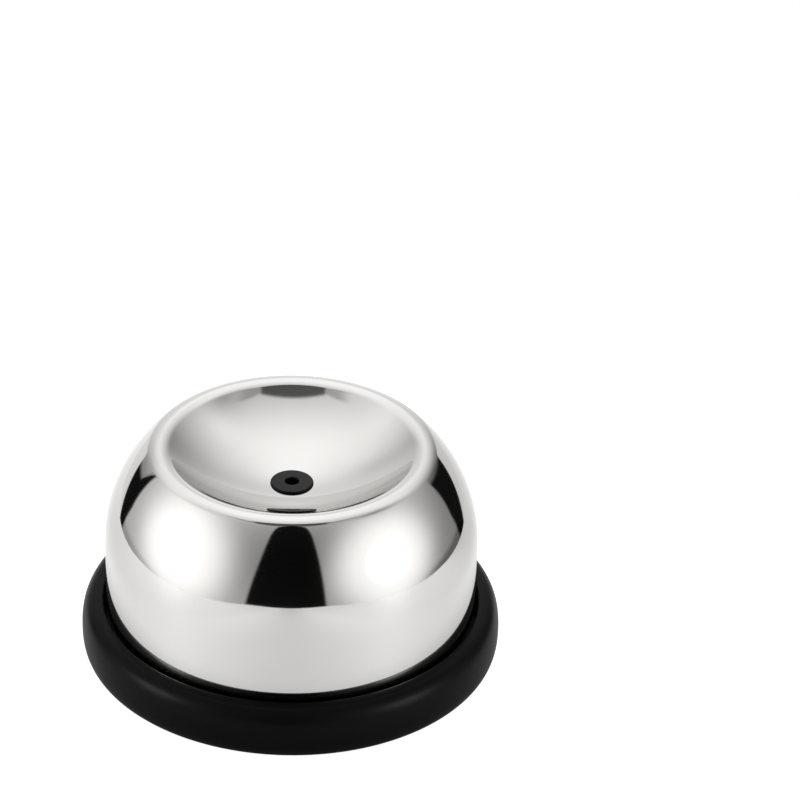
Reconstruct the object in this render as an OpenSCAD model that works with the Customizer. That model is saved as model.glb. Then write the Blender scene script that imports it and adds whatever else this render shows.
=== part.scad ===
// Press-down egg piercer: a sprung steel dome over a low round base.
// An egg is set in the dish and pressed down. The dome sinks, and the fixed needle comes up through
// its guide. A knob under the base lowers the needle out of reach when the piercer is put away.
// Millimetres, +Z up. The origin is on the table, under the middle of the dome.

/* [Dome] */
// Outer diameter of the steel dome
dome_d = 53; // [50:0.5:58]
// Thickness of the drawn steel
steel_t = 0.7; // [0.5:0.05:0.9]
// Height of the dome's straight wall
wall_h = 10.3; // [9:0.1:13]
// Radius of the shoulder between the wall and the rim
shoulder_r = 21; // [19:0.25:23]
// Radius of the rim round the dish
rim_round = 2.4; // [1.8:0.1:3]
// Radius of the dish that the egg sits in
dish_r = 28; // [25:0.5:31]
// Height of the dish's middle above the top of the straight wall
dish_rise = 9.15; // [8:0.05:10]
// Width of the lip rolled in under the carrier
lip_w = 1.7; // [1.2:0.1:2.1]
// How far the dome is pressed down
press_travel = 4.2; // [3.4:0.1:5]

/* [Carrier] */
// Thickness of the moulded liner inside the dome
liner_t = 1.4; // [1:0.1:1.8]
// Wall of the tube that slides on the post
tube_wall = 1.5; // [1.2:0.1:1.9]
// Number of radial ribs under the dish
rib_count = 8; // [4:1:10]
// Thickness of a rib
rib_t = 1.1; // [0.8:0.1:1.6]
// Height of the lugs that hold the dome down
lug_h = 1.65; // [1.2:0.05:2.2]
// Angle that each lug covers
lug_angle = 34; // [20:1:50]
// Width of the keys that stop the dome turning
key_w = 2.4; // [1.6:0.1:3.2]
// Number of lugs, and of keys
lug_count = 3; // [2:1:4]

/* [Needle guide] */
// Diameter of the black nub in the dish
nub_d = 6.1; // [5.4:0.1:7]
// Height of the nub above the steel at its edge
nub_proud = 0.3; // [0.25:0.05:0.9]
// Radius of the nub's rounded edge
nub_round = 0.25; // [0.15:0.05:0.5]
// Diameter of the guide's shank
shank_d = 4.2; // [3.8:0.1:4.6]
// Length of the guide from the dish down
guide_len = 3.5; // [3.2:0.1:4]
// Diameter of the hole in the nub's face
mouth_d = 2; // [1.6:0.1:2.4]
// Depth of that hole
mouth_depth = 1.2; // [0.8:0.1:1.8]
// Outer diameter of the push-on washer
push_washer_d = 8; // [7:0.1:9]
// Thickness of the push-on washer
push_washer_t = 0.5; // [0.3:0.05:0.7]

/* [Needle] */
// Diameter of the needle
needle_d = 1.2; // [1:0.05:1.4]
// Length of the needle's ground point
point_len = 2.6; // [2:0.1:3.4]
// Depth of the tip below the nub's face with the dome up
tip_depth = 1; // [0.7:0.05:1.3]
// How far the knob hides the tip when the dome is pressed right down
safe_depth = 0.4; // [0.2:0.05:0.6]
// Thickness of the needle holder's flange
holder_flange = 1; // [0.8:0.1:1.3]
// Width of the holder's two keys
holder_key_w = 1.5; // [1.1:0.1:1.9]
// Diameter of the holder's stem
stem_d = 2.9; // [2.5:0.1:3.1]

/* [Lock knob] */
// Turn of the knob from open to locked
lock_angle = 120; // [100:5:130]
// Angle that each foot of the holder covers on its ramp
foot_angle = 30; // [20:1:34]
// Diameter of the knob's face
knob_d = 16.2; // [15:0.2:17]
// Diameter of the knob's flange above the cover
knob_flange_d = 19.2; // [18.6:0.1:19.6]
// Thickness of the knob's face and of its flange
knob_t = 1; // [0.8:0.1:1.3]
// Width of the knob's finger bar
bar_w = 2.8; // [2:0.1:4]
// Depth of the finger hollows beside the bar
hollow_depth = 1.2; // [0.8:0.1:1.5]
// Height of the ramps' lowest point above the flange
ramp_base = 1.5; // [1.2:0.1:2]

/* [Base] */
// Radial width of the rubber ring beyond its gap to the dome
ring_w = 3.1; // [2.7:0.1:3.8]
// Gap between the dome and the ring
ring_gap = 0.4; // [0.3:0.05:0.6]
// How far the ring hides the dome's lower edge
ring_cover = 0.8; // [0.5:0.1:1.5]
// Height at which the ring is widest
ring_widest = 3.2; // [2.5:0.1:4]
// Radial run of the ring's rounded top
ring_top_run = 2.7; // [1.8:0.1:2.7]
// Radial run of the ring's lower edge
ring_foot_run = 1.5; // [1:0.1:2]
// Clear height under the base
under_h = 0.6; // [0.5:0.05:0.9]
// Thickness of the base's floor
floor_t = 1.2; // [1:0.1:1.6]
// Depth of the floor's edge in the ring
grip = 1.3; // [1:0.1:1.6]
// Outer diameter of the drum in the base
drum_d = 43; // [42:0.2:44]
// Wall of the drum
drum_wall = 1.3; // [1.1:0.1:1.7]
// Thickness of the ledge that the lugs catch
ledge_t = 1.2; // [1:0.1:1.6]
// Thickness of the plate that carries the post
plate_t = 1.2; // [1:0.1:1.6]
// Outer diameter of the post
post_d = 10.4; // [10.2:0.1:11]
// Diameter of the post's bore
post_bore = 7.8; // [7.4:0.1:8]
// Thickness of the lip that closes the post's top
post_lip = 1.1; // [0.8:0.1:1.3]
// Number of stiffening ribs in the drum
drum_ribs = 6; // [3:3:12]

/* [Cover and magnets] */
// Thickness of the bottom cover
cover_t = 1; // [0.9:0.05:1.2]
// Diameter of each magnet
magnet_d = 8; // [7:0.1:8.2]
// Thickness of each magnet
magnet_t = 3; // [2.6:0.1:3.6]
// Diameter of the circle that the magnets lie on
magnet_circle = 29.6; // [29.4:0.1:29.8]
// Thickness of the steel plate over the magnets
yoke_t = 0.8; // [0.6:0.1:1.2]
// Number of magnets, and of screws between them
magnet_count = 3; // [2:1:4]
// Diameter of the circle that the screws lie on
screw_circle = 32; // [31:0.2:32.6]
// Thread diameter of the screws
screw_d = 2.2; // [2:0.1:2.5]
// Head diameter of the screws
screw_head_d = 4.2; // [3.8:0.1:4.6]
// Length of the screws under the cover's face
screw_len = 5; // [4:0.1:5.2]

/* [Springs] */
// Wire diameter of the return spring
spring_wire = 0.9; // [0.7:0.05:1.1]
// Turns of the return spring
spring_turns = 6; // [4:0.5:7]
// Thickness of the return spring's seat washer
seat_t = 0.5; // [0.4:0.05:0.8]
// Wire diameter of the small needle spring
needle_wire = 0.3; // [0.25:0.01:0.35]
// Turns of the needle spring
needle_turns = 3; // [2.5:0.5:3]

/* [Fits] */
// Radial clearance of a part that slides or turns on another
run_fit = 0.05; // [0.03:0.01:0.1]
// Clearance of parts that are seated or pressed in place
seat_fit = 0.05; // [0.02:0.01:0.08]
// Clearance that moving parts keep all round
free_gap = 0.3; // [0.2:0.05:0.4]

/* [Hidden] */
$fn = 96;

steel = "#d4d5d6";
spring_steel = "#8f9296";
black_rubber = "#161616";
black_plastic = "#232325";
grey_plastic = "#4a4b4e";
natural_plastic = "#d9d6cc";
nickel = "#b9bbbf";

// How far a cutter runs past what it cuts, and how far solids that are fused run into each other
past = 1;
sunk = 0.1;

// Radii, from the dome outwards
dome_r = dome_d / 2;
ring_in = dome_r + ring_gap;
ring_r = ring_in + ring_w;
floor_r = ring_in + grip;
ring_lip_r = ring_in - 2 * grip;

// Heights of the base
floor_z = under_h;
floor_top = floor_z + floor_t;
cover_top = under_h + cover_t;
magnet_top = cover_top + magnet_t;
plate_z = magnet_top + yoke_t;
plate_top = plate_z + plate_t;

// Heights of the dome and its carrier
edge_room = 0.8;
dome_z = floor_top + press_travel + edge_room;
ring_h = dome_z + ring_cover;
wall_top = dome_z + wall_h;
dish_z = wall_top + dish_rise;
skirt_z = dome_z + steel_t + seat_fit;
lug_top = skirt_z + lug_h;
ledge_z = lug_top + 2 * run_fit;
drum_top = ledge_z + ledge_t;

// The rim's centre, where a circle of its radius touches both the shoulder and the dish
shoulder_c = [dome_r - shoulder_r, wall_top];
dish_c = [0, dish_z + dish_r];
to_dish = dish_c - shoulder_c;
apart = norm(to_dish);
from_shoulder = shoulder_r - rim_round;
from_dish = dish_r + rim_round;
along = (pow(from_shoulder, 2) - pow(from_dish, 2) + pow(apart, 2)) / (2 * apart);
aside = sqrt(pow(from_shoulder, 2) - pow(along, 2));
rim_c = shoulder_c + along * to_dish / apart + aside * [to_dish[1], -to_dish[0]] / apart;
rim_z = rim_c[1] + rim_round;

// Carrier
cap_inset = steel_t + seat_fit;
liner_inset = cap_inset + liner_t;
liner_r = dome_r - liner_inset;
web_z = dish_z - liner_inset;
tube_in = post_d / 2 + run_fit;
tube_out = tube_in + tube_wall;
tube_z = plate_top + press_travel + free_gap;
rib_z = drum_top + press_travel + 2 * free_gap;

// Drum and the ledge under which the lugs catch
drum_r = drum_d / 2;
drum_in = drum_r - drum_wall;
ledge_r = liner_r - free_gap;
catch_w = 1.1;
lug_in = ledge_r - catch_w;
key_in = lug_in + free_gap;
drum_rib_w = 1;
drum_rib_h = 2;

// Return spring, between its seat washer and the carrier
spring_room = 1;
spring_in = tube_out + spring_room;
spring_mid = spring_in + spring_wire / 2;
spring_out = spring_in + spring_wire;
spring_z = plate_top + seat_t;
spring_cup_h = 0.9;
spring_top = web_z - spring_cup_h;
seat_rim = 0.6;

// Needle guide and post
guide_end = dish_z - guide_len;
nub_r = nub_d / 2;
shank_r = shank_d / 2;
nub_top = dish_c[1] - sqrt(pow(dish_r, 2) - pow(nub_r, 2)) + nub_proud;
post_r = post_d / 2;
bore_r = post_bore / 2;
post_top = guide_end - press_travel - free_gap - sunk;
lip_z = post_top - post_lip;

// Needle travel, and the ramps that give it
needle_r = needle_d / 2;
tip_r = 0.05;
stem_r = stem_d / 2;
retract = press_travel - tip_depth + safe_depth;
tip_z = nub_top - tip_depth;
slope = retract / lock_angle;
end_angle = 5;
ramp_low = -(lock_angle + foot_angle / 2 + end_angle);
ramp_high = foot_angle / 2 + end_angle;
knob_z = under_h + free_gap;
flange_z = knob_z + knob_t;
flange_top = flange_z + knob_t;
ramp_z = flange_top + ramp_base;
ramp_mid = ramp_z - slope * ramp_low;
ramp_top = ramp_mid + slope * ramp_high;
lift_gap = 0.2;
holder_z = ramp_top + lift_gap + retract;
holder_top = holder_z + holder_flange;
slide_gap = 0.15;
holder_r = bore_r - slide_gap;
foot_r = holder_r - slide_gap;
stem_z = ramp_mid + 0.7;
needle_z = stem_z + 0.9;
groove_depth = 0.7;
groove_r = bore_r + groove_depth;

// Knob stops, click tongue and screws
knob_r = knob_d / 2;
flange_r = knob_flange_d / 2;
tab_angle = 12;
stop_gap_angle = 2;
stop_angle = 12;
tongue_at = 40;
tongue_sweep = 38;
tongue_in = flange_r + 0.7;
tongue_out = tongue_in + 0.8;
click_at = tongue_at + 3;
click_r = 0.6;
click_gap = 0.15;
screw_r = screw_d / 2;
head_sunk = 0.1;
head_h = 0.7 * cover_t;
boss_wall = 1.5;
boss_r = screw_r + boss_wall;
boss_gap = 0.2;
cup_in = magnet_d / 2 + seat_fit;
cup_out = cup_in + 0.8;
cup_h = 1.6;

// A rectangle of the section, from one radius and height to another
module band(r0, r1, z0, z1) {
  translate([r0, z0]) square([r1 - r0, z1 - z0]);
}

module ring_part(r0, r1, z0, z1) {
  rotate_extrude() band(r0, r1, z0, z1);
}

// The same rectangle turned through an angle about its middle direction
module sector(r0, r1, z0, z1, middle, angle) {
  rotate([0, 0, middle - angle / 2]) rotate_extrude(angle = angle) band(r0, r1, z0, z1);
}

module around(count, offset = 0) {
  for (i = [0:count - 1]) rotate([0, 0, offset + 360 * i / count]) children();
}

// Section of everything under the dome's surface, drawn in by an inset and cut off at z0
module under_dome(inset, z0) {
  out_1 = (rim_c - shoulder_c) / from_shoulder;
  out_2 = (dish_c - rim_c) / from_dish;
  reach = 3 * rim_round;
  difference() {
    union() {
      band(0, dome_r - inset, z0, wall_top);
      intersection() {
        translate(shoulder_c) circle(shoulder_r - inset);
        band(0, dome_r, wall_top, wall_top + shoulder_r);
      }
    }
    translate(dish_c) circle(dish_r + inset);
    if (inset < rim_round)
      polygon([rim_c, rim_c + reach * out_1, rim_c + reach * (out_1 + out_2), rim_c + reach * out_2]);
  }
  if (inset < rim_round) translate(rim_c) circle(rim_round - inset);
}

// A block with one face that climbs steadily with the angle, between that face and a level one
module ramp_block(r0, r1, a0, a1, z_a0, z_a1, z_level, steps) {
  flip = z_level > (z_a0 + z_a1) / 2 ? 1 : 0;
  rows = [for (i = [0:steps]) let (f = i / steps, a = a0 + f * (a1 - a0), z = z_a0 + f * (z_a1 - z_a0))
    for (p = [[r0, z], [r1, z], [r1, z_level], [r0, z_level]]) [p[0] * cos(a), p[0] * sin(a), p[1]]];
  sides = [for (i = [0:steps - 1], k = [0:3]) let (a = 4 * i + k, b = 4 * i + (k + 1) % 4)
    for (t = [[a, b, b + 4], [a, b + 4, a + 4]]) t];
  last = 4 * steps;
  ends = [[3, 2, 1], [3, 1, 0], [last, last + 1, last + 2], [last, last + 2, last + 3]];
  all = concat(sides, ends);
  polyhedron(rows, flip == 1 ? all : [for (t = all) [t[2], t[1], t[0]]]);
}

// Round wire wound up from z0 to z1, lying level over the first and the last half turn
module coil(mid_r, wire_d, z0, z1, turns, steps_a_turn, sides) {
  level = 0.5;
  n = round(turns * steps_a_turn);
  low = z0 + wire_d / 2;
  high = z1 - wire_d / 2;
  climb = (high - low) / (turns - 2 * level);
  function lift(t) = low + climb * max(0, min(t - level, turns - 2 * level));
  points = [for (i = [0:n]) let (t = turns * i / n, a = 360 * t,
      tilt = atan2((lift(t + 0.01) - lift(t - 0.01)) / 0.02, 2 * PI * mid_r))
    for (k = [0:sides - 1]) let (b = 360 * k / sides, out = wire_d / 2 * cos(b), up = wire_d / 2 * sin(b))
      [(mid_r + out) * cos(a) + up * sin(tilt) * sin(a),
       (mid_r + out) * sin(a) - up * sin(tilt) * cos(a),
       lift(t) + up * cos(tilt)]];
  skin = [for (i = [0:n - 1], k = [0:sides - 1])
    let (a = i * sides + k, b = i * sides + (k + 1) % sides, c = a + sides, d = b + sides)
    for (f = [[a, b, d], [a, d, c]]) f];
  start = [for (k = [1:sides - 2]) [0, k + 1, k]];
  finish = [for (k = [1:sides - 2]) [n * sides, n * sides + k, n * sides + k + 1]];
  polyhedron(points, concat(skin, start, finish));
  echo(least_gap_in_coil = climb * (1 - level) - wire_d);
}

// Drawn steel cap, with its lower edge rolled in under the carrier
module dome_shell() {
  color(steel) rotate_extrude() difference() {
    under_dome(0, dome_z);
    under_dome(steel_t, dome_z + steel_t);
    band(0, dome_r - lip_w, dome_z - past, dome_z + 2 * steel_t);
    band(0, shank_r + seat_fit, dish_z - 2 * steel_t, dish_z + past);
  }
}

// Moulding inside the dome: liner, guide tube, spring cup, ribs, catch lugs and keys
module dome_carrier() {
  pocket_r = spring_out + free_gap;
  pocket_wall = 0.9;
  pocket_depth = 1;
  rib_in = pocket_r + pocket_wall / 2;
  rib_top_z = spring_top - pocket_depth;
  color(grey_plastic) {
    rotate_extrude() difference() {
      union() {
        difference() {
          under_dome(cap_inset, skirt_z);
          under_dome(liner_inset, skirt_z - past);
        }
        intersection() {
          union() {
            band(tube_in, tube_out, tube_z, dish_z);
            band(tube_out, pocket_r + pocket_wall, spring_top, dish_z);
            band(pocket_r, pocket_r + pocket_wall, rib_top_z, dish_z);
          }
          under_dome(cap_inset + liner_t / 2, 0);
        }
      }
      band(0, shank_r + seat_fit, web_z - past, dish_z + past);
    }
    around(rib_count) rotate([90, 0, 0]) translate([0, 0, -rib_t / 2]) linear_extrude(rib_t)
      intersection() {
        under_dome(cap_inset + liner_t / 2, 0);
        polygon([[rib_in, rib_top_z], [dome_r, rib_z], [dome_r, rim_z], [rib_in, rim_z]]);
      }
    around(lug_count) {
      sector(lug_in, liner_r + liner_t / 2, skirt_z, lug_top, 180 / lug_count, lug_angle);
      translate([key_in, -key_w / 2, skirt_z]) cube([liner_r + liner_t / 2 - key_in, key_w, rib_z - skirt_z]);
    }
  }
}

// Black bush in the middle of the dish, with the hole that the needle comes through
module needle_guide() {
  edge_r = nub_r - nub_round;
  edge_z = nub_top - nub_round;
  bore = needle_r + run_fit;
  lead_in = 0.5;
  color(black_plastic) rotate_extrude() difference() {
    union() {
      difference() {
        union() {
          band(0, nub_r, dish_z - past, edge_z);
          band(0, edge_r, dish_z - past, nub_top);
          translate([edge_r, edge_z]) circle(nub_round);
        }
        under_dome(-seat_fit / 2, 0);
      }
      band(0, shank_r, guide_end, edge_z);
    }
    band(0, bore, guide_end - past, nub_top + past);
    band(0, mouth_d / 2, nub_top - mouth_depth, nub_top + past);
    polygon([[0, guide_end - past], [bore + lead_in + past, guide_end - past],
      [0, guide_end + bore + lead_in]]);
  }
}

// Push-on washer that grips the guide's shank under the carrier
module guide_washer() {
  hole = shank_r + seat_fit / 2;
  teeth = 6;
  slot_w = 0.5;
  slot_depth = 0.8;
  color(spring_steel) difference() {
    ring_part(hole, push_washer_d / 2, web_z - push_washer_t, web_z);
    around(teeth) translate([0, -slot_w / 2, web_z - push_washer_t - past])
      cube([hole + slot_depth, slot_w, push_washer_t + 2 * past]);
  }
}

module return_spring() {
  color(spring_steel) coil(spring_mid, spring_wire, spring_z, spring_top, spring_turns, 20, 8);
}

module spring_seat() {
  color(nickel) ring_part(tube_out + free_gap, spring_out + seat_rim, plate_top, spring_z);
}

// Base moulding: floor, drum with its catch ledge, plate, post, screw bosses and knob stops
module base_tray() {
  notch = key_w + 2 * free_gap;
  rib_in = spring_out + seat_rim + free_gap;
  stop_off = tab_angle / 2 + stop_gap_angle + stop_angle / 2;
  groove_w = holder_key_w + 2 * slide_gap;
  groove_z = holder_z - retract - free_gap;
  color(black_plastic) difference() {
    union() {
      rotate_extrude() {
        band(drum_in, floor_r, floor_z, floor_top);
        band(drum_in, drum_r, floor_z, drum_top);
        band(drum_in, ledge_r, ledge_z, drum_top);
        band(bore_r, drum_r - sunk, plate_z, plate_top);
        band(bore_r, post_r, flange_top + free_gap, post_top);
        band(needle_r + free_gap, post_r, lip_z, post_top);
      }
      around(magnet_count, 180 / magnet_count) translate([screw_circle / 2, 0, cover_top])
        cylinder(r = boss_r, h = plate_z - cover_top + plate_t / 2);
      around(drum_ribs, 180 / drum_ribs) translate([rib_in, -drum_rib_w / 2, plate_top - sunk])
        cube([drum_in + sunk - rib_in, drum_rib_w, drum_rib_h + sunk]);
      for (at = [-stop_off, lock_angle + stop_off])
        sector(post_r - sunk, flange_r, flange_top + free_gap, plate_z + sunk, at, stop_angle);
    }
    around(lug_count) translate([key_in - free_gap, -notch / 2, ledge_z - past])
      cube([ledge_r, notch, ledge_t + 2 * past]);
    around(magnet_count, 180 / magnet_count) translate([screw_circle / 2, 0, cover_top - past])
      cylinder(r = screw_r + run_fit, h = under_h + screw_len + free_gap - cover_top + past);
    around(2, 90) translate([0, -groove_w / 2, groove_z]) cube([groove_r, groove_w, lip_z - groove_z]);
    around(magnet_count) translate([magnet_circle / 2, 0, 0]) ring_part(0, cup_in, cover_top, magnet_top);
  }
}

// Rubber ring that grips the floor's edge and stands on the table.
// Its outer side is two quarter superellipses, which meet where it is widest.
module base_ring() {
  steps = 18;
  top_power = 2.5;
  foot_power = 2.7;
  function bulge(run, rise, power, t) = [run * pow(cos(t), 2 / power), rise * pow(sin(t), 2 / power)];
  foot = [for (i = [steps:-1:1]) let (p = bulge(ring_foot_run, ring_widest, foot_power, 90 * i / steps))
    [ring_r - ring_foot_run + p[0], ring_widest - p[1]]];
  top = [for (i = [0:steps]) let (p = bulge(ring_top_run, ring_h - ring_widest, top_power, 90 * i / steps))
    [ring_r - ring_top_run + p[0], ring_widest + p[1]]];
  groove_z = floor_z - seat_fit;
  groove_top = floor_top + seat_fit;
  color(black_rubber) rotate_extrude() polygon(concat([[ring_lip_r, 0]], foot, top, [
    [ring_in, ring_h], [ring_in, groove_top], [floor_r + seat_fit, groove_top],
    [floor_r + seat_fit, groove_z], [ring_lip_r, groove_z]]));
}

// Bottom cover, with cups for the magnets, countersunk screw holes and the knob's click tongue
module bottom_cover() {
  arm_z = cover_top + free_gap;
  root_angle = 6;
  root_end = tongue_at + tongue_sweep + root_angle;
  color(black_plastic) difference() {
    union() {
      ring_part(knob_r + free_gap, drum_in - 2 * seat_fit, under_h, cover_top);
      intersection() {
        around(magnet_count) translate([magnet_circle / 2, 0, 0])
          ring_part(cup_in, cup_out, cover_top - sunk, cover_top + cup_h);
        ring_part(flange_r + free_gap, drum_in - 2 * seat_fit, under_h, plate_z);
      }
      difference() {
        sector(tongue_in, tongue_out, cover_top - sunk, flange_top, (tongue_at + root_end) / 2,
          root_end - tongue_at);
        sector(tongue_in - past, tongue_out + past, cover_top - past, arm_z, tongue_at, 2 * tongue_sweep);
      }
      rotate([0, 0, click_at]) translate([flange_r + click_r + click_gap, 0, arm_z])
        cylinder(r = click_r, h = flange_top - arm_z);
    }
    around(magnet_count, 180 / magnet_count) translate([screw_circle / 2, 0, 0])
      rotate_extrude() screw_section(seat_fit, under_h - past, cover_top + past);
  }
}

// Half section of a countersunk screw, grown all round, from z0 below its head to z1
module screw_section(grow, z0, z1) {
  head_z = under_h + head_sunk;
  polygon([[0, z0], [screw_head_d / 2 + grow, z0], [screw_head_d / 2 + grow, head_z],
    [screw_r + grow, head_z + head_h], [screw_r + grow, z1], [0, z1]]);
}

// Countersunk screws that hold the cover to the base
module cover_screws() {
  head_z = under_h + head_sunk;
  slot_len = 0.55 * screw_head_d;
  slot_w = 0.45;
  slot_depth = 0.5;
  color(nickel) around(magnet_count, 180 / magnet_count) translate([screw_circle / 2, 0, 0]) difference() {
    rotate_extrude() screw_section(0, head_z, under_h + screw_len);
    for (turn = [0, 90]) rotate([0, 0, turn]) translate([-slot_len / 2, -slot_w / 2, head_z - past])
      cube([slot_len, slot_w, slot_depth + past]);
  }
}

module magnets() {
  color(nickel) around(magnet_count) translate([magnet_circle / 2, 0, cover_top])
    cylinder(d = magnet_d, h = magnet_t);
}

// Steel plate that backs the magnets and adds weight
module magnet_plate() {
  color(spring_steel) difference() {
    ring_part(flange_r + 2 * free_gap, drum_in - free_gap, magnet_top, plate_z);
    around(magnet_count, 180 / magnet_count) translate([screw_circle / 2, 0, magnet_top - past])
      cylinder(r = boss_r + boss_gap, h = yoke_t + 2 * past);
  }
}

// Knob under the base: finger bar, flange with stop tab and click notches, and two helical ramps
module lock_knob() {
  rim_w = 1;
  tab_h = 1.2;
  well_floor = 0.7;
  dot_r = 0.5;
  dot_depth = 0.3;
  notch_r = click_r + slide_gap;
  color(natural_plastic) difference() {
    union() {
      rotate_extrude() {
        band(0, knob_r, knob_z, flange_top);
        band(0, flange_r, flange_z, flange_top);
        band(0, bore_r - run_fit, flange_top - sunk, ramp_top);
      }
      sector(post_r + free_gap, flange_r - free_gap, flange_top - sunk, flange_top + tab_h, 0, tab_angle);
    }
    for (side = [0, 180]) rotate([0, 0, side]) {
      ramp_block(stem_r / 2, bore_r + past, ramp_low, ramp_high, ramp_z, ramp_top, ramp_top + past, 24);
      finger_hollow(knob_r - rim_w);
    }
    translate([0, 0, flange_top + well_floor]) cylinder(r = stem_r + slide_gap, h = ramp_top);
    for (turn = [0, lock_angle]) rotate([0, 0, click_at - turn])
      translate([flange_r + click_r / 2, 0, flange_z - past])
        cylinder(r = notch_r, h = 2 * knob_t + 2 * past);
    translate([knob_r - rim_w, 0, knob_z - past]) cylinder(r = dot_r, h = dot_depth + past);
  }
}

// Half-round hollow on one side of the knob's finger bar
module finger_hollow(r) {
  difference() {
    translate([0, 0, knob_z - past]) cylinder(r = r, h = hollow_depth + past);
    translate([-knob_d, bar_w / 2 - 2 * knob_d, knob_z - 2 * past])
      cube([2 * knob_d, 2 * knob_d, hollow_depth + 3 * past]);
  }
}

// Follower that rides the ramps on two feet and carries the needle, keyed in the post's grooves
module needle_holder() {
  color(natural_plastic) difference() {
    union() {
      ring_part(0, holder_r, holder_z, holder_top);
      ring_part(0, stem_r, stem_z, lip_z - free_gap);
      translate([0, 0, holder_z]) intersection() {
        cylinder(r = groove_r - slide_gap, h = holder_flange);
        translate([-holder_key_w / 2, -groove_r, 0]) cube([holder_key_w, 2 * groove_r, holder_flange]);
      }
      for (side = [0, 180]) rotate([0, 0, side]) difference() {
        sector(stem_r - sunk, foot_r, ramp_mid - retract, holder_z + sunk, 0, foot_angle);
        ramp_block(stem_r / 2, bore_r + past, -foot_angle, foot_angle,
          ramp_mid + lift_gap - slope * foot_angle, ramp_mid + lift_gap + slope * foot_angle, 0, 12);
      }
    }
    translate([0, 0, needle_z]) cylinder(r = needle_r + seat_fit / 2, h = lip_z);
  }
}

module needle() {
  color(steel) rotate_extrude()
    polygon([[0, needle_z], [needle_r, needle_z], [needle_r, tip_z - point_len], [tip_r, tip_z], [0, tip_z]]);
}

// Small spring between the holder and the post's lip, which keeps the feet on their ramps
module needle_spring() {
  coil_in = stem_r + 0.5;
  color(spring_steel) coil(coil_in + needle_wire / 2, needle_wire, holder_top, lip_z, needle_turns, 16, 6);
}

dome_shell();
dome_carrier();
needle_guide();
guide_washer();
return_spring();
spring_seat();
base_tray();
base_ring();
bottom_cover();
cover_screws();
magnets();
magnet_plate();
lock_knob();
needle_holder();
needle();
needle_spring();
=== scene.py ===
import math

import bpy
import numpy as np
from mathutils import Matrix, Vector


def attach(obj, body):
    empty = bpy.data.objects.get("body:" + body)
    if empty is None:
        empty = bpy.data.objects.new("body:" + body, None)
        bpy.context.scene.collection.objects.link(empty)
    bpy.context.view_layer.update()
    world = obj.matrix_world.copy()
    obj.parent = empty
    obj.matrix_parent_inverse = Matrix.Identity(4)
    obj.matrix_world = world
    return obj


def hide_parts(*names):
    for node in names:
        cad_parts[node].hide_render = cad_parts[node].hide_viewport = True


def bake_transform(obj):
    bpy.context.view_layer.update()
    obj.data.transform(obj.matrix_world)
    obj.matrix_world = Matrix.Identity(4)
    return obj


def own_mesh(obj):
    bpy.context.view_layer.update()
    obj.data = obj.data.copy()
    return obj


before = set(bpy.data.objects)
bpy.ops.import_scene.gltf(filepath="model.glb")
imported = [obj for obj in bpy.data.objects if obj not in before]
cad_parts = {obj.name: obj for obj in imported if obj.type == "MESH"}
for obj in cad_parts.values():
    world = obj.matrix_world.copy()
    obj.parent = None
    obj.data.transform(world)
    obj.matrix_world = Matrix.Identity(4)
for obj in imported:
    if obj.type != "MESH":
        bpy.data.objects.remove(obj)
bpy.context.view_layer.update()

mm = 0.001
photoSize = 800  # pixels, both ways
noiseSpan = (0.3, 0.7)  # where nearly all values of a noise texture lie
white = (1, 1, 1, 1)


def linear(hexColour):
    # an sRGB hex value as linear light: c / 12.92 when dark, else ((c + 0.055) / 1.055) ^ 2.4
    parts = [int(hexColour[i:i + 2], 16) / 255 for i in (1, 3, 5)]
    return (*[c / 12.92 if c <= 0.04045 else ((c + 0.055) / 1.055) ** 2.4 for c in parts], 1.0)


def add(tree, kind, sockets=None, **settings):
    # one node, with its settings and with values or links on its sockets
    made = tree.nodes.new(kind)
    for name, value in settings.items():
        setattr(made, name, value)
    for name, value in (sockets or {}).items():
        if isinstance(value, bpy.types.NodeSocket):
            tree.links.new(value, made.inputs[name])
        else:
            made.inputs[name].default_value = value
    return made


def arc(centre, radius, start, stop, count):
    # points at even angles on a circle: centre + radius (cos a, sin a)
    a = np.radians(np.linspace(start, stop, count))
    return np.stack([centre[0] + radius * np.cos(a), centre[1] + radius * np.sin(a)], 1)


def line(start, stop, count):
    # points at even steps between two ends: start + (stop - start) k / (count - 1)
    return np.linspace(start, stop, count)


def corner(before, at, after, radius, count=6):
    # the arc of a circle that touches both sides of a corner: each side is left at radius * tan(half the
    # turn) from the corner, and the middle lies square to the first side
    before, at, after = (np.array(p, float) for p in (before, at, after))
    u, v = at - before, after - at
    u, v = u / np.linalg.norm(u), v / np.linalg.norm(v)
    turn = math.atan2(u[0] * v[1] - u[1] * v[0], u @ v)
    side = np.array([-u[1], u[0]]) * math.copysign(1, turn)
    first = at - u * radius * math.tan(abs(turn) / 2)
    middle = first + side * radius
    a = math.atan2(*(first - middle)[::-1]) + np.linspace(0, turn, count)
    return middle + radius * np.stack([np.cos(a), np.sin(a)], 1)


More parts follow.
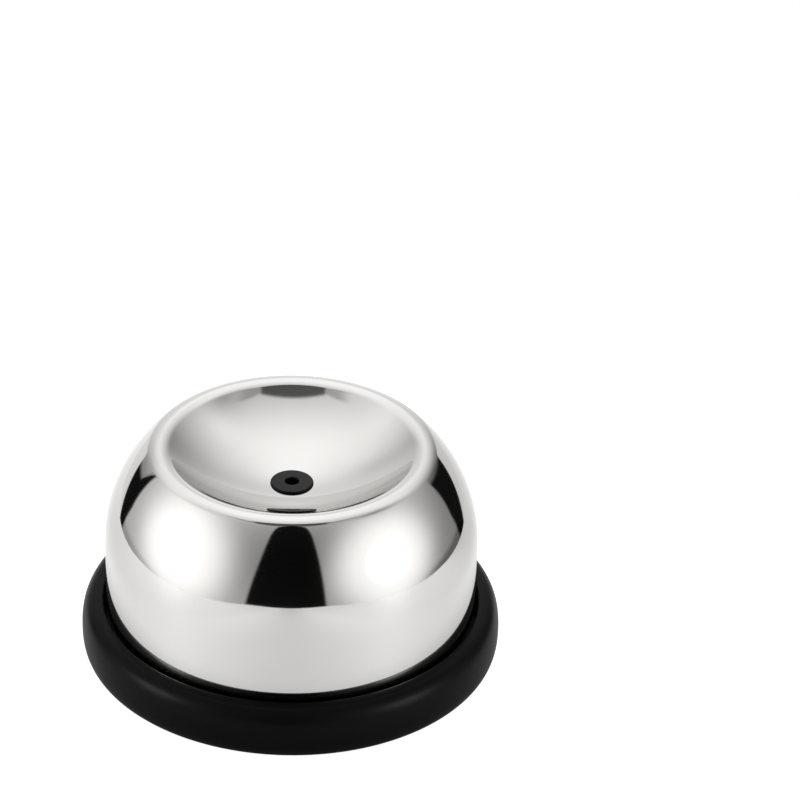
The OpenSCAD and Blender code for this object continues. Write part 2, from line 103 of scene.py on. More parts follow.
def turned(name, profile, count):
    # a closed profile (r, z) in mm carried round the z axis: x = r cos t, y = r sin t.
    # The UV map holds the turn and the length along the profile in metres.
    profile = np.asarray(profile) * mm
    t = np.linspace(0, 2 * np.pi, count, endpoint=False)
    r, z = profile[:, :1], profile[:, 1:]
    points = np.stack([r * np.cos(t), r * np.sin(t), z + 0 * t], -1)
    index = np.arange(points.shape[0] * count).reshape(-1, count)
    right, up = np.roll(index, -1, 1), np.roll(index, -1, 0)
    faces = np.stack([index, right, np.roll(right, -1, 0), up], -1).reshape(-1)
    mesh = bpy.data.meshes.new(name)
    mesh.vertices.add(points.size // 3)
    mesh.vertices.foreach_set("co", points.ravel())
    mesh.loops.add(faces.size)
    mesh.loops.foreach_set("vertex_index", faces)
    mesh.polygons.add(faces.size // 4)
    mesh.polygons.foreach_set("loop_start", np.arange(0, faces.size, 4))
    mesh.polygons.foreach_set("use_smooth", np.ones(faces.size // 4, bool))
    step = np.linalg.norm(np.roll(profile, -1, 0) - profile, axis=1)
    along = np.concatenate([[0], np.cumsum(step)])
    i, j = np.divmod(np.arange(faces.size // 4), count)
    u = np.stack([j, j + 1, j + 1, j], 1) / count
    v = np.stack([along[i], along[i], along[i + 1], along[i + 1]], 1)
    layer = mesh.uv_layers.new(name="lay")
    layer.data.foreach_set("uv", np.stack([u, v], -1).astype(np.float32).ravel())
    mesh.update(calc_edges=True)
    made = bpy.data.objects.new(name, mesh)
    bpy.context.scene.collection.objects.link(made)
    return made


def newMaterial(name, **values):
    # a Principled material, with constant values set on the shader's own sockets
    made = bpy.data.materials.new(name)
    made.use_nodes = True
    tree = made.node_tree
    shader = tree.nodes["Principled BSDF"]
    for socket, value in values.items():
        shader.inputs[socket.replace("_", " ")].default_value = value
    return made, tree, shader


def surface(look):
    # Colour wanders between two tones and roughness between two values with one cloudy noise, a grain gives
    # the relief, and edges are softened. All sizes in the look are real ones in mm.
    made, tree, shader = newMaterial(look["name"], **look.get("values", {}))
    place = add(tree, "ShaderNodeTexCoord").outputs["Object"]
    cloud = add(tree, "ShaderNodeTexNoise", {
        "Vector": place, "Scale": 1 / (look["cloud"] * mm), "Detail": 3.0, "Roughness": 0.6}).outputs["Fac"]
    tone = add(tree, "ShaderNodeMix", {
        "Factor": cloud, "A": linear(look["tones"][0]), "B": linear(look["tones"][1])}, data_type="RGBA")
    tree.links.new(tone.outputs["Result"], shader.inputs["Base Color"])
    rough = add(tree, "ShaderNodeMapRange", {
        "Value": cloud, "From Min": noiseSpan[0], "From Max": noiseSpan[1],
        "To Min": look["rough"][0], "To Max": look["rough"][1]})
    tree.links.new(rough.outputs["Result"], shader.inputs["Roughness"])
    stretch = look.get("stretch", (1, 1, 1))
    stretched = add(tree, "ShaderNodeMapping", {"Vector": place, "Scale": stretch}).outputs[0]
    if look["grain"] == "cells":
        grain = add(tree, "ShaderNodeTexVoronoi", {"Vector": stretched, "Scale": 1 / (look["grainSize"] * mm)},
                    feature="SMOOTH_F1").outputs["Distance"]
    else:
        grain = add(tree, "ShaderNodeTexNoise", {"Vector": stretched, "Scale": 1 / (look["grainSize"] * mm),
                                                 "Detail": 2.0}).outputs["Fac"]
    edge = add(tree, "ShaderNodeBevel", {"Radius": look["edge"] * mm}, samples=4).outputs["Normal"]
    relief = add(tree, "ShaderNodeBump", {
        "Height": grain, "Distance": look["grainDepth"] * mm, "Strength": 1.0, "Normal": edge})
    tree.links.new(relief.outputs["Normal"], shader.inputs["Normal"])
    return made


# ABS, moulded against a spark-eroded tool: a fine even pitting that breaks the shine
sparkAbs = surface(dict(
    name="sparkTexturedAbs", tones=("#141415", "#1d1d1f"), cloud=9, rough=(0.5, 0.6), grain="cells",
    grainSize=0.22, grainDepth=0.012, edge=0.15, values=dict(IOR=1.53)))
# ABS from a plain tool: satin, with slow flow marks
satinAbs = surface(dict(
    name="satinMouldedAbs", tones=("#2b2c2e", "#36373a"), cloud=14, rough=(0.34, 0.46), grain="noise",
    grainSize=0.5, grainDepth=0.004, edge=0.15, values=dict(IOR=1.53)))
# Acetal, natural: milky and a little see-through, so light goes a short way in
naturalAcetal = surface(dict(
    name="naturalAcetal", tones=("#d3cfc2", "#dfdbcf"), cloud=6, rough=(0.32, 0.42), grain="noise",
    grainSize=0.3, grainDepth=0.003, edge=0.12,
    values=dict(IOR=1.48, Subsurface_Weight=0.25, Subsurface_Scale=0.0012)))
# Stainless spring wire, cold drawn: bright, with the die's fine scoring and a faint heat tint
springWire = surface(dict(
    name="drawnSpringWire", tones=("#8d8a84", "#a3a19b"), cloud=2.5, rough=(0.24, 0.36), grain="noise",
    grainSize=0.12, grainDepth=0.004, edge=0.05, values=dict(Metallic=1.0)))
# Spring strip, hardened and oiled: dark, brownish blue
springStrip = surface(dict(
    name="hardenedSpringStrip", tones=("#57524c", "#4c5058"), cloud=1.8, rough=(0.3, 0.42), grain="noise",
    grainSize=0.1, grainDepth=0.004, edge=0.05, values=dict(Metallic=1.0)))
# Mild steel, zinc plated: pale, faintly blue and yellow, with a soft grey bloom
zincPlate = surface(dict(
    name="zincPlatedSteel", tones=("#b4b8bd", "#c2bfb2"), cloud=3.5, rough=(0.28, 0.45), grain="noise",
    grainSize=0.2, grainDepth=0.004, edge=0.08, values=dict(Metallic=1.0)))
# Sintered magnet, nickel plated: a warm bright skin over a slightly pebbled core
nickelPlate = surface(dict(
    name="nickelPlatedMagnet", tones=("#b9b2a6", "#c6c0b6"), cloud=5, rough=(0.14, 0.22), grain="cells",
    grainSize=0.35, grainDepth=0.006, edge=0.2, values=dict(Metallic=1.0)))
# Hard stainless wire, ground to a point round its axis: fine rings, so the grain is squeezed along z
groundSteel = surface(dict(
    name="groundNeedleSteel", tones=("#b7b8ba", "#c8c9ca"), cloud=2, rough=(0.16, 0.26), grain="noise",
    grainSize=0.25, grainDepth=0.003, stretch=(0.2, 0.2, 4.0), edge=0.03, values=dict(Metallic=1.0)))


# Dome: stainless steel, deep drawn and buffed to a mirror.
# Its crest stays a hair under that of the coarser CAD mesh.
domeSizes = dict(radius=26.5, steel=0.7, lowEdge=6.8, wallTop=17.089, shoulder=21.0, rim=2.4, dish=28.0,
                 dishMiddle=26.25, lip=1.7, hole=2.15, edgeRound=0.22, turns=320,
                 outsideSteps=(44, 30, 52), insideSteps=(24, 12, 24))  # steps: shoulder, rim and dish


def domeProfile(s):
    # Outside: wall, shoulder circle, rim circle and dish circle, each touching the next.
    # The rim's centre is where circles of radius shoulder - rim and dish + rim cross.
    # Inside: the same, less the steel.
    shoulderAt = np.array([s["radius"] - s["shoulder"], s["wallTop"]])
    dishAt = np.array([0, s["dishMiddle"] + s["dish"]])
    apart = dishAt - shoulderAt
    distance = np.linalg.norm(apart)
    a, b = s["shoulder"] - s["rim"], s["dish"] + s["rim"]
    along = (a * a - b * b + distance ** 2) / (2 * distance)
    aside = math.sqrt(a * a - along ** 2)
    rimAt = shoulderAt + (along * apart + aside * np.array([apart[1], -apart[0]])) / distance
    first = math.degrees(math.atan2(*(rimAt - shoulderAt)[::-1]))
    second = math.degrees(math.atan2(*(dishAt - rimAt)[::-1]))
    third = second - 180
    steel, hole, edge = s["steel"], s["hole"], s["edgeRound"]
    inner = s["radius"] - steel
    lipAt = s["radius"] - s["lip"]
    floor, ceiling = s["lowEdge"], s["lowEdge"] + steel
    shoulderSteps, rimSteps, dishSteps = zip(s["outsideSteps"], s["insideSteps"])
    holeAt = [-90 + math.degrees(math.asin((hole + edge) / r)) for r in (s["dish"], s["dish"] + steel)]
    holeTop, holeLow = [dishAt[1] - math.sqrt(r * r - hole * hole) for r in (s["dish"], s["dish"] + steel)]
    return np.concatenate([
        corner((lipAt, floor), (s["radius"], floor), (s["radius"], s["wallTop"]), 2 * edge, 8),
        line((s["radius"], floor + 3 * edge), (s["radius"], s["wallTop"]), 6),
        arc(shoulderAt, s["shoulder"], 0, first, shoulderSteps[0])[1:],
        arc(rimAt, s["rim"], first, second, rimSteps[0])[1:],
        arc(dishAt, s["dish"], third, holeAt[0], dishSteps[0])[1:],
        corner((hole + 3 * edge, holeTop), (hole, holeTop), (hole, holeLow), edge, 5),
        corner((hole, holeTop), (hole, holeLow), (hole + 3 * edge, holeLow), edge, 5),
        arc(dishAt, s["dish"] + steel, holeAt[1], third, dishSteps[1]),
        arc(rimAt, s["rim"] - steel, second, first, rimSteps[1])[1:],
        arc(shoulderAt, s["shoulder"] - steel, first, 0, shoulderSteps[1])[1:],
        line((inner, s["wallTop"] - 1), (inner, ceiling + 2 * edge), 3),
        corner((inner, s["wallTop"]), (inner, ceiling), (lipAt, ceiling), edge, 5),
        corner((inner, ceiling), (lipAt, ceiling), (lipAt, floor), edge, 5),
        corner((lipAt, ceiling), (lipAt, floor), (inner, floor), edge, 5),
    ])


print("dome")
dome = turned("polishedDome", domeProfile(domeSizes), domeSizes["turns"])
# Buffed stainless steel: close to a mirror, with the buff's hair-fine marks, slow waves and a faint haze.
# The buff's marks lie every 0.08 mm along the profile, each a ninth of a turn long, and are drawn four times
# as coarse to show at all.
buffing = dict(tones=("#c5c4c2", "#cac9c7"), haze=7, rough=(0.035, 0.065), marks=0.32, marksInTurn=9.0,
               marksDepth=0.0003, waves=16, wavesDepth=0.05)
buffedSteel, tree, shader = newMaterial("buffedStainlessSteel", Metallic=1.0)
place = add(tree, "ShaderNodeTexCoord")
waves = add(tree, "ShaderNodeTexNoise", {
    "Vector": place.outputs["Object"], "Scale": 1 / (buffing["waves"] * mm), "Detail": 1.0})
marksAt = add(tree, "ShaderNodeMapping", {
    "Vector": place.outputs["UV"], "Scale": (buffing["marksInTurn"], 1 / (buffing["marks"] * mm), 1.0)})
marks = add(tree, "ShaderNodeTexNoise", {"Vector": marksAt.outputs[0], "Scale": 1.0, "Detail": 2.0})
haze = add(tree, "ShaderNodeTexNoise", {
    "Vector": place.outputs["Object"], "Scale": 1 / (buffing["haze"] * mm), "Detail": 4.0})
tone = add(tree, "ShaderNodeMix", {
    "Factor": haze.outputs["Fac"], "A": linear(buffing["tones"][0]), "B": linear(buffing["tones"][1])},
    data_type="RGBA")
tree.links.new(tone.outputs["Result"], shader.inputs["Base Color"])
rough = add(tree, "ShaderNodeMapRange", {
    "Value": marks.outputs["Fac"], "From Min": noiseSpan[0], "From Max": noiseSpan[1],
    "To Min": buffing["rough"][0], "To Max": buffing["rough"][1]})
tree.links.new(rough.outputs["Result"], shader.inputs["Roughness"])
wavy = add(tree, "ShaderNodeBump", {
    "Height": waves.outputs["Fac"], "Distance": buffing["wavesDepth"] * mm, "Strength": 1.0})
scored = add(tree, "ShaderNodeBump", {
    "Height": marks.outputs["Fac"], "Distance": buffing["marksDepth"] * mm, "Strength": 1.0,
    "Normal": wavy.outputs["Normal"]})
tree.links.new(scored.outputs["Normal"], shader.inputs["Normal"])
dome.data.materials.append(buffedSteel)
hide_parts("dome_shell")
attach(dome, "plunger")


# Needle bush: the black nub in the middle of the dish.
bushSizes = dict(radius=3.05, top=26.717, edge=0.27, shank=2.1, end=22.6, bore=0.65, leadIn=0.5, mouth=1.0,
                 mouthDepth=1.2, dishCentre=54.25, dish=27.975, small=0.1, turns=128)


def bushProfile(s):
    # A mushroom: shank, head that follows the dish under its edge, rounded top edge, wide mouth, narrow bore.
    # The dish lies at dishCentre - square root of (dish^2 - r^2).
    small, mouthAt = s["small"], s["top"] - s["mouthDepth"]
    under = -90 + np.degrees(np.arcsin(np.array([s["shank"] + small, s["radius"] - small / 2]) / s["dish"]))
    dishRim = s["dishCentre"] - math.sqrt(s["dish"] ** 2 - s["radius"] ** 2)
    neck = s["dishCentre"] - math.sqrt(s["dish"] ** 2 - s["shank"] ** 2)
    lead = (s["bore"] + s["leadIn"], s["end"])
    return np.concatenate([
        corner((s["bore"], s["end"] + s["leadIn"]), lead, (s["shank"], s["end"]), small, 3),
        corner(lead, (s["shank"], s["end"]), (s["shank"], neck), small, 5),
        line((s["shank"], s["end"] + 5 * small), (s["shank"], neck), 5),
        arc((0, s["dishCentre"]), s["dish"], under[0], under[1], 6),
        line((s["radius"], dishRim + 0.3 * small), (s["radius"], s["top"] - s["edge"]), 2),
        arc((s["radius"] - s["edge"], s["top"] - s["edge"]), s["edge"], 0, 90, 12)[1:],
        line((s["radius"] - s["edge"] - small, s["top"]), (s["mouth"] + 2 * small, s["top"]), 8),
        corner((s["radius"], s["top"]), (s["mouth"], s["top"]), (s["mouth"], mouthAt), 1.5 * small, 6),
        corner((s["mouth"], s["top"]), (s["mouth"], mouthAt), (s["bore"], mouthAt), small, 4),
        corner((s["mouth"], mouthAt), (s["bore"], mouthAt), (s["bore"], s["end"]), small, 5),
        line((s["bore"], mouthAt - 4 * small), (s["bore"], s["end"] + s["leadIn"]), 6),
    ])


print("needle bush")
bush = turned("needleBush", bushProfile(bushSizes), bushSizes["turns"])
# Acetal, moulded deep black in a polished tool. Its face is painted paler than its edge, a painted highlight.
blackAcetal = surface(dict(
    name="blackAcetal", tones=("#050505", "#080808"), cloud=1.4, rough=(0.34, 0.46), grain="noise",
    grainSize=0.16, grainDepth=0.004, edge=0.02, values=dict(IOR=1.48, Specular_IOR_Level=0.1)))
paintedTopLight = dict(tones=("#191919", "#282827"), mottle=0.5, start=0.09, full=0.01)  # start and full: mm below the top
tree, shader = blackAcetal.node_tree, blackAcetal.node_tree.nodes["Principled BSDF"]
place = add(tree, "ShaderNodeTexCoord").outputs["Object"]
up = add(tree, "ShaderNodeSeparateXYZ", {"Vector": place}).outputs[2]
# painted highlight: by height, the top face blends from the black to a paler grey, mottled at random
face = add(tree, "ShaderNodeMapRange", {
    "Value": up, "From Min": (bushSizes["top"] - paintedTopLight["start"]) * mm,
    "From Max": (bushSizes["top"] - paintedTopLight["full"]) * mm, "To Min": 0.0, "To Max": 1.0})
faceMottle = add(tree, "ShaderNodeTexNoise", {
    "Vector": place, "Scale": 1 / (paintedTopLight["mottle"] * mm), "Detail": 4.0, "Roughness": 0.7})
litFace = add(tree, "ShaderNodeMix", {
    "Factor": faceMottle.outputs["Fac"], "A": linear(paintedTopLight["tones"][0]), "B": linear(paintedTopLight["tones"][1])},
    data_type="RGBA")
ownTone = shader.inputs["Base Color"].links[0].from_socket
tone = add(tree, "ShaderNodeMix", {"Factor": face.outputs["Result"], "A": ownTone, "B": litFace.outputs["Result"]},
           data_type="RGBA")
tree.links.new(tone.outputs["Result"], shader.inputs["Base Color"])
bush.data.materials.append(blackAcetal)
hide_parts("needle_guide")
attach(bush, "plunger")


# Base ring: moulded black rubber.
ringSizes = dict(outer=30.0, inner=26.9, height=7.6, widest=3.2, topRun=2.7, topPower=2.5, footRun=1.5,
                 footPower=2.7, lip=24.3, grooveLow=0.55, grooveHigh=1.85, grooveDepth=28.25, edge=0.3,
                 small=0.1, steps=30, turns=288)


def ringProfile(s):
    # Outside: two quarter superellipses, x = run cos^(2/p), y = rise sin^(2/p), that meet where it is widest.
    # Inside: a groove for the base moulding's edge over a turned-in lip, with small round corners.
    def bulge(run, rise, power, t):
        return run * np.cos(t) ** (2 / power), rise * np.sin(t) ** (2 / power)
    t = np.linspace(0, np.pi / 2, s["steps"])
    x, y = bulge(s["footRun"], s["widest"], s["footPower"], t[::-1])
    foot = np.stack([s["outer"] - s["footRun"] + x, s["widest"] - y], 1)
    x, y = bulge(s["topRun"], s["height"] - s["widest"], s["topPower"], t)
    top = np.stack([s["outer"] - s["topRun"] + x, s["widest"] + y], 1)
    low, high, deep, lip = s["grooveLow"], s["grooveHigh"], s["grooveDepth"], s["lip"]
    inner, edge, small = s["inner"], s["edge"], s["small"]
    return np.concatenate([
        corner((lip, low), (lip, 0), (deep, 0), 1.5 * small, 5),
        line((lip + 4 * small, 0), (s["outer"] - s["footRun"], 0), 8),
        foot[1:], top[1:],
        corner((s["outer"], s["height"]), (inner, s["height"]), (inner, high), edge, 8),
        line((inner, s["height"] - 2 * edge), (inner, high + 3 * small), 10),
        corner((inner, s["height"]), (inner, high), (deep, high), small, 4),
        corner((inner, high), (deep, high), (deep, low), small, 4),
        corner((deep, high), (deep, low), (lip, low), small, 4),
        line((deep - 4 * small, low), (lip + 4 * small, low), 6),
        corner((deep, low), (lip, low), (lip, 0), small, 4),
    ])


print("base ring")
ring = turned("rubberRing", ringProfile(ringSizes), ringSizes["turns"])
# Rubber, moulded in a vapour-blasted tool: deep black, satin, with a fine even grain and slow shifts of gloss
mouldedRubber = surface(dict(
    name="mouldedRubber", tones=("#070807", "#0b0c0b"), cloud=11, rough=(0.26, 0.34), grain="noise",
    grainSize=0.28, grainDepth=0.006, edge=0.02, values=dict(IOR=1.52, Specular_IOR_Level=0.035)))
ring.data.materials.append(mouldedRubber)
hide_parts("base_ring")
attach(ring, "base")


# Springs: round wire with a flat half turn at each end, drawn at one length.
returnSpringSizes = dict(middle=8.2, wire=0.9, low=7.1, high=23.2, turns=6, flat=0.5, rounding=0.12,
                         press=4.2, steps=56, sides=14)
needleSpringSizes = dict(middle=2.1, wire=0.3, low=14.0, high=17.05, turns=3, flat=0.5, rounding=0.12,
                         steps=48, sides=10)


def coil(name, s):
    # The wire's middle at turn t: middle (cos a, sin a), where a = 2 pi t. Its height is half of
    # |t - flat| - |t - flat - run| + run with the two corners rounded off, stretched from low to high, and the
    # run is the turns less both flat ends.
    # Round it: wire / 2 (cos b outwards + sin b square to both that and the wire).
    count, sides, radius = s["turns"] * s["steps"] + 1, s["sides"], s["wire"] / 2
    t = np.linspace(0, s["turns"], count)
    run = s["turns"] - 2 * s["flat"]
    bend = [np.hypot(t - s["flat"] - k, s["rounding"]) for k in (0, run)]
    low, high = s["low"] + radius, s["high"] - radius
    height = (bend[0] - bend[1] + run) / 2
    height = low + (high - low) * (height - height[0]) / (height[-1] - height[0])
    tilt = np.arctan2(np.gradient(height, t), 2 * np.pi * s["middle"])[:, None]
    a, b = 2 * np.pi * t[:, None], np.linspace(0, 2 * np.pi, sides, endpoint=False)
    out, up = s["middle"] + radius * np.cos(b), radius * np.sin(b)
    back, rise = up * np.sin(tilt), up * np.cos(tilt)
    points = np.stack([out * np.cos(a) + back * np.sin(a), out * np.sin(a) - back * np.cos(a),
                       height[:, None] + rise], -1) * mm
    index = np.arange(count * sides).reshape(count, sides)
    turn = np.roll(index, -1, 1)
    skin = np.stack([index[:-1], index[1:], turn[1:], turn[:-1]], -1).reshape(-1, 4)
    ends = [index[0].tolist(), index[-1, ::-1].tolist()]
    mesh = bpy.data.meshes.new(name)
    mesh.from_pydata(points.reshape(-1, 3).tolist(), [], skin.tolist() + ends)
    mesh.shade_smooth()
    for end in (-2, -1):
        mesh.polygons[end].use_smooth = False
    made = bpy.data.objects.new(name, mesh)
    bpy.context.scene.collection.objects.link(made)
    made.data.materials.append(springWire)
    return made


print("springs")
returnSpring = coil("returnSpring", returnSpringSizes)
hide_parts("return_spring")
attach(returnSpring, "base")
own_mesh(returnSpring)
needleSpring = coil("needleSpring", needleSpringSizes)
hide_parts("needle_spring")
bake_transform(needleSpring)


# The CAD's own pieces keep their shape and get their finish.
print("finishes")
finishes = dict(
    dome_carrier=satinAbs, base_tray=sparkAbs, bottom_cover=sparkAbs, lock_knob=naturalAcetal,
    needle_holder=naturalAcetal, needle=groundSteel, guide_washer=springStrip, spring_seat=zincPlate,
    cover_screws=zincPlate, magnet_plate=zincPlate, magnets=nickelPlate)
for node, finish in finishes.items():
    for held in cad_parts[node].material_slots:
        held.material = finish


def maths(operation, *values):
    # one step of arithmetic on numbers or sockets of the tree in hand
    return add(tree, "ShaderNodeMath", dict(enumerate(values)), operation=operation).outputs[0]


def ease(value, start, stop, low=0.0, high=1.0):
    # from low to high as value goes from start to stop, by 3 t^2 - 2 t^3, which has soft ends
    eased = add(tree, "ShaderNodeMapRange", {"Value": value, "From Min": start, "From Max": stop,
                                             "To Min": low, "To Max": high}, interpolation_type="SMOOTHSTEP")
    return eased.outputs["Result"]


# Floor: an opal acrylic light table, whose glow has painted pools of light at its sides and painted shade.
print("floor and light")
floorSizes = dict(front=-0.296, back=0.40, rounding=0.06, low=-0.0002, steps=24,
                  sides=((0.118, -0.204), (0.126, -0.124), (0.125, -0.072), (0.112, 0.0), (0.088, 0.055)),
                  leftSides=((0.118, -0.204), (0.126, -0.124), (0.126, -0.072), (0.119, 0.0), (0.096, 0.055)))
# the painted glow that mirrors see; each group is from where to where, in metres, and from how much to how
# much
paintedGlowLook = dict(colour="#b4b4b4", sides=(0, 0.038, 0.5, 0.68), farSides=(0.04, 0.055, 0, 0.05), slope=-0.3,
                behind=(0, 0.04), behindLess=0.18, front=(-0.08, -0.22, 0, 0.1),
                ringShadow=(0.031, 0.043, 0.3, 1.0), toCamera=0.88)


def floorOutline(s):
    # each side: a rounded front corner, a side that leans in towards the back, and a back corner
    rounding = s["rounding"]
    start = arc((s["sides"][0][0] - rounding, s["front"] + rounding), rounding, -90, 0, s["steps"])
    right, left = [np.concatenate([start, side, [[side[-1][0], s["back"]]]])
                   for side in (s["sides"], s["leftSides"])]
    edge = np.concatenate([right, left[::-1] * (-1, 1)])
    return np.concatenate([edge, np.full((len(edge), 1), s["low"])], 1)


outline = floorOutline(floorSizes)
floorMesh = bpy.data.meshes.new("floor")
floorMesh.from_pydata(outline.tolist(), [], [list(range(len(outline)))])
floor = bpy.data.objects.new("floor", floorMesh)
bpy.context.scene.collection.objects.link(floor)
opalSheet, tree, shader = newMaterial("opalAcrylicSheet", Roughness=0.6, IOR=1.49)
shader.inputs["Base Color"].default_value = linear(paintedGlowLook["colour"])
shader.inputs["Emission Color"].default_value = white
spot = add(tree, "ShaderNodeTexCoord").outputs["Object"]
spotAt = add(tree, "ShaderNodeSeparateXYZ", {"Vector": spot}).outputs
aside = maths("ABSOLUTE", spotAt[0])
distance = add(tree, "ShaderNodeVectorMath", {0: spot}, operation="LENGTH").outputs["Value"]
# painted light on the glow: raised at the sides as pools of light, darker behind and in front, and dimmed
# round the ring as a painted shadow
paintedGlow = maths("SUBTRACT", ease(aside, *paintedGlowLook["sides"]), ease(aside, *paintedGlowLook["farSides"]))
paintedGlow = maths("MULTIPLY_ADD", spotAt[0], paintedGlowLook["slope"], paintedGlow)
behind = maths("MULTIPLY", ease(spotAt[1], *paintedGlowLook["behind"]),
               maths("ADD", spotAt[0], paintedGlowLook["behindLess"]))
paintedGlow = maths("SUBTRACT", maths("SUBTRACT", paintedGlow, behind), ease(spotAt[1], *paintedGlowLook["front"]))
paintedGlow = maths("MULTIPLY", paintedGlow, ease(distance, *paintedGlowLook["ringShadow"]))
# only the camera and the rays of mirrors and glass see it lit, so it casts no more light than a plain sheet
path = add(tree, "ShaderNodeLightPath").outputs
mirrored = maths("MULTIPLY", maths("MAXIMUM", path["Is Glossy Ray"], path["Is Transmission Ray"]), paintedGlow)
lit = add(tree, "ShaderNodeMix", {"Factor": path["Is Camera Ray"], "A": mirrored, "B": paintedGlowLook["toCamera"]},
          data_type="FLOAT")
tree.links.new(lit.outputs["Result"], shader.inputs["Emission Strength"])
floorMesh.materials.append(opalSheet)


# World: a white tent above and behind with a black gap at each side, soft boxes, grey flags, a black card in
# front and a sheet that sweeps up behind. Angles are in degrees, and azimuth 0 is towards the camera.
lamps = [dict(azimuth=-73, elevation=13, spread=23.3, power=2, strength=1.22),  # the two soft boxes
         dict(azimuth=61.5, elevation=12.5, spread=24.2, power=2, strength=1.44),
         dict(azimuth=-74, elevation=13, spread=8.8, power=4, strength=11.0),  # their lit fronts
         dict(azimuth=63, elevation=13, spread=8.8, power=4, strength=11.0),
         dict(azimuth=180, elevation=63.5, spread=30, power=1, strength=0.63),  # overhead, and low behind
         dict(azimuth=177, elevation=2, spread=10, power=1, strength=0.77),
         dict(azimuth=137, elevation=13, spread=15, power=1, strength=-0.41),  # grey flags beside the tent
         dict(azimuth=-136, elevation=13, spread=10, power=1, strength=-0.32),
         dict(azimuth=180, elevation=22, spread=20, power=1, strength=-0.14),  # folds, dim and bright
         dict(azimuth=88, elevation=51.5, spread=8, power=1, strength=-0.41),
         dict(azimuth=40, elevation=-2, spread=11, power=1, strength=-0.16),
         dict(azimuth=-153, elevation=25, spread=6, power=1, strength=-0.16),
         dict(azimuth=126, elevation=50, spread=7, power=1, strength=0.16),
         dict(azimuth=-119, elevation=42, spread=8, power=1, strength=0.16),
         dict(azimuth=-163, elevation=8, spread=9.5, power=1, strength=0.11),
         dict(azimuth=179, elevation=39, spread=7.5, power=1, strength=0.2)]
# A pair says from where to where something fades, and a group of four adds from how much to how much. The
# tent and its edge go by the looking direction's x, y and z, and the rest by height and azimuth. The gaps'
# tops are straight lines: slope, and height at azimuth 0.
tent = dict(base=0.534, up=0.119, upMore=0.09, upBack=0.546, back=0.097, right=-0.153, least=0.02)
tentEdge = dict(at=-0.149, straight=0.3, soft=0.025, overhead=(0.86, 0.92), middle=(0.33, 0.27, 0.0, 0.85),
                sides=(0.75, 0.4, 0.0, 0.4))
card = dict(width=22.9, taper=-0.0965, roundFrom=48.0, rounding=0.037, middle=-2.5, slant=0.053, soft=1.2,
            top=(76.0, 66.0), light=0.015)
gapLook = dict(slant=-0.12, footAt=-3.0, footSlant=-0.36, start=(121.3, 123.7), startRight=1.9, low=-191.6,
               lowRight=-2.4, lowSlope=1.35, topRight=(-0.64, 93.8), topLeft=((-2.4, 318.6), (-0.45, 63.7)),
               soft=1.2, topSoft=1.5, halo=(-7.0, -1.0, 0.0, 0.35), light=0.008)
sweepLook = dict(top=(3.0, 0.0), left=1.02, rightMore=-0.17)
stripLook = dict(height=(-8.5, -12.5), start=(78.0, 98.0), end=(130.0, 124.0), dark=0.4, rightMore=0.12)

world = bpy.data.worlds.new("studio")
bpy.context.scene.world = world
world.use_nodes = True
tree = world.node_tree
tree.nodes.clear()
looking = add(tree, "ShaderNodeTexCoord").outputs["Generated"]
x, y, z = add(tree, "ShaderNodeSeparateXYZ", {"Vector": looking}).outputs
across = maths("ABSOLUTE", x)
azimuth = maths("DEGREES", maths("ARCTAN2", x, maths("MULTIPLY", y, -1.0)))
aside = maths("ABSOLUTE", azimuth)
height = maths("DEGREES", maths("ARCSINE", z))
right = maths("GREATER_THAN", x, 0.0)

# the tent's cloth: base + right x + back y + z (up + upMore z + upBack y), and never less than the least
rise = maths("MULTIPLY_ADD", y, tent["upBack"], maths("MULTIPLY_ADD", z, tent["upMore"], tent["up"]))
level = maths("MULTIPLY_ADD", y, tent["back"], maths("MULTIPLY_ADD", x, tent["right"], tent["base"]))
light = maths("MULTIPLY_ADD", z, rise, level)
for lamp in lamps:  # each lamp or flag is a soft patch, exp(-((1 - cos angle) / spread squared) ^ power)
    a, e, spread = (math.radians(lamp[k]) for k in ("azimuth", "elevation", "spread"))
    toLamp = (math.sin(a) * math.cos(e), -math.cos(a) * math.cos(e), math.sin(e))
    near = add(tree, "ShaderNodeVectorMath", {0: looking, 1: toLamp}, operation="DOT_PRODUCT").outputs["Value"]
    off = maths("MAXIMUM", maths("MULTIPLY_ADD", near, -1 / spread ** 2, 1 / spread ** 2), 0.0)
    patch = maths("EXPONENT", maths("MULTIPLY", maths("POWER", off, lamp["power"]), -1.0))
    light = maths("MULTIPLY_ADD", patch, lamp["strength"], light)
light = maths("MAXIMUM", light, tent["least"])
# the tent's front edge, overhead: dark in front of it, less so at the sides
edgeAt = maths("ADD", maths("MAXIMUM", maths("SUBTRACT", across, tentEdge["straight"]), 0.0), tentEdge["at"])
inFront = maths("MULTIPLY", ease(maths("SUBTRACT", y, edgeAt), tentEdge["soft"], -tentEdge["soft"]),
                ease(z, *tentEdge["overhead"]))
deep = maths("MAXIMUM", ease(across, *tentEdge["middle"]), ease(across, *tentEdge["sides"]))
light = maths("MULTIPLY", light, maths("SUBTRACT", 1.0, maths("MULTIPLY", inFront, deep)))
# the black card in front, narrower towards its rounded top. Half its width is width + taper h - rounding t^2
# at height h, where t is how far h lies above roundFrom.
cardTop = maths("MAXIMUM", maths("SUBTRACT", height, card["roundFrom"]), 0.0)
cardWide = maths("SUBTRACT", maths("MULTIPLY_ADD", height, card["taper"], card["width"]),
                 maths("MULTIPLY", maths("MULTIPLY", cardTop, cardTop), card["rounding"]))
cardMiddle = maths("MULTIPLY_ADD", height, card["slant"], card["middle"])
cardAt = maths("ABSOLUTE", maths("SUBTRACT", azimuth, cardMiddle))
inCard = maths("MULTIPLY", ease(maths("SUBTRACT", cardAt, cardWide), card["soft"], -card["soft"]),
               ease(height, *card["top"]))
light = maths("MULTIPLY", light, maths("MULTIPLY_ADD", inCard, card["light"] - 1, 1.0))
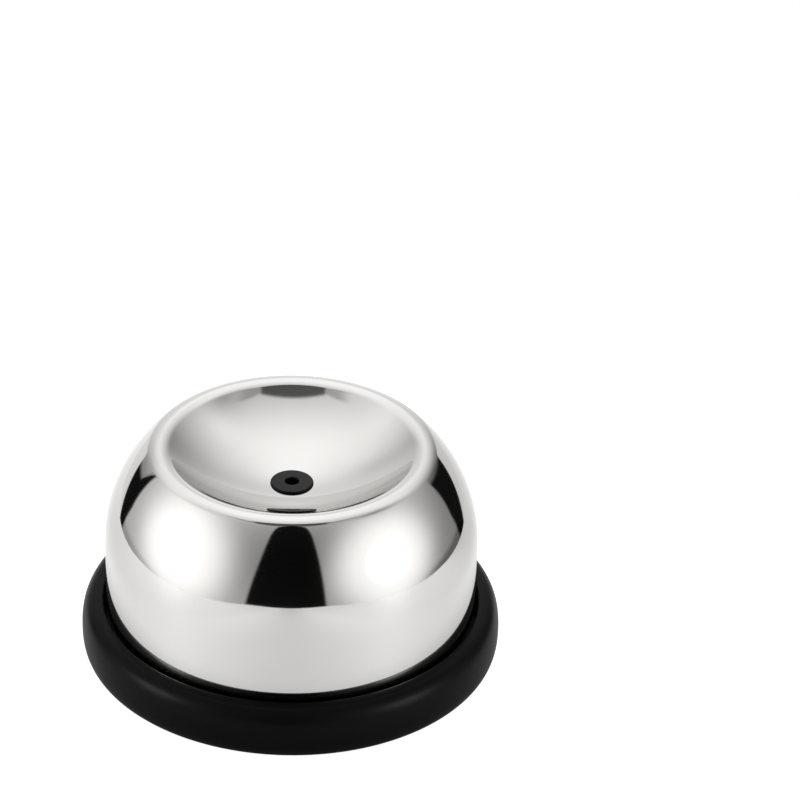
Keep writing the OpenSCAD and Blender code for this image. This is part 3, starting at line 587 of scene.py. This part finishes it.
# the gaps beside the tent, narrower at the foot, cut off below by the sheet that sweeps up behind
foot = maths("MAXIMUM", maths("MULTIPLY_ADD", height, -1.0, gapLook["footAt"]), 0.0)
lean = maths("MULTIPLY_ADD", foot, gapLook["footSlant"],
             maths("MULTIPLY_ADD", height, gapLook["slant"], aside))
start = ease(maths("MULTIPLY_ADD", right, gapLook["startRight"], lean), *gapLook["start"])
lowest = maths("MULTIPLY_ADD", aside, gapLook["lowSlope"],
               maths("MULTIPLY_ADD", right, gapLook["lowRight"], gapLook["low"]))
aboveLow = maths("SUBTRACT", height, lowest)
topRight = maths("MULTIPLY_ADD", aside, *gapLook["topRight"])
topLeft = maths("MAXIMUM", *[maths("MULTIPLY_ADD", aside, *side) for side in gapLook["topLeft"]])
gapTop = add(tree, "ShaderNodeMix", {"Factor": right, "A": topLeft, "B": topRight}, data_type="FLOAT")
under = maths("SUBTRACT", gapTop.outputs["Result"], height)
gap = maths("MULTIPLY", maths("MULTIPLY", start, ease(aboveLow, -gapLook["soft"], gapLook["soft"])),
            ease(under, -gapLook["topSoft"], gapLook["topSoft"]))
sweep = maths("MULTIPLY", maths("MULTIPLY", start, ease(aboveLow, gapLook["soft"], -gapLook["soft"])),
              ease(height, *sweepLook["top"]))
sheet = maths("MULTIPLY_ADD", right, sweepLook["rightMore"], sweepLook["left"])
halo = maths("MULTIPLY", start, ease(under, *gapLook["halo"]))
light = maths("MULTIPLY", light, maths("SUBTRACT", 1.0, halo))
for factor, other in ((sweep, sheet), (gap, gapLook["light"])):
    mixed = add(tree, "ShaderNodeMix", {"Factor": factor, "A": light, "B": other}, data_type="FLOAT")
    light = mixed.outputs["Result"]
# the dim strip just above the light table's edge
strip = maths("MULTIPLY", ease(height, *stripLook["height"]),
              maths("MULTIPLY", ease(aside, *stripLook["start"]), ease(aside, *stripLook["end"])))
strip = maths("MULTIPLY", strip, maths("MULTIPLY_ADD", x, stripLook["rightMore"], stripLook["dark"]))
light = maths("MULTIPLY", light, maths("SUBTRACT", 1.0, strip))
# the camera sees the plain white background
rays = add(tree, "ShaderNodeLightPath").outputs
shown = add(tree, "ShaderNodeMix", {"Factor": rays["Is Camera Ray"], "A": light, "B": 1.0}, data_type="FLOAT")
sky = add(tree, "ShaderNodeBackground", {"Color": white, "Strength": shown.outputs["Result"]})
add(tree, "ShaderNodeOutputWorld", {"Surface": sky.outputs[0]})


# Camera: where the photograph was taken from. Lengths are in metres, the elevation in degrees, the roll in
# radians, the focal length and the picture's centre in pixels, and the sensor in mm.
view = dict(distance=0.540, elevation=32.89, aimHeight=0.0165, focalPixels=3790.0, centre=(291.29, 541.63),
            roll=0.0109, sensor=36, clip=(0.01, 10))
camera = bpy.data.objects.new("camera", bpy.data.cameras.new("camera"))
bpy.context.scene.collection.objects.link(camera)
bpy.context.scene.camera = camera
elevation = math.radians(view["elevation"])
aim = Vector((0, 0, view["aimHeight"]))
back = Vector((0, -math.cos(elevation), math.sin(elevation)))
camera.location = aim + back * view["distance"]
camera.rotation_mode = "QUATERNION"
roll = Matrix.Rotation(view["roll"], 3, "Z").to_quaternion()
camera.rotation_quaternion = (-back).to_track_quat("-Z", "Y") @ roll
camera.data.sensor_width = view["sensor"]
camera.data.lens = view["sensor"] * view["focalPixels"] / photoSize
camera.data.shift_x = 0.5 - view["centre"][0] / photoSize
camera.data.shift_y = view["centre"][1] / photoSize - 0.5
camera.data.clip_start, camera.data.clip_end = view["clip"]
bpy.context.scene.view_settings.view_transform = "Standard"
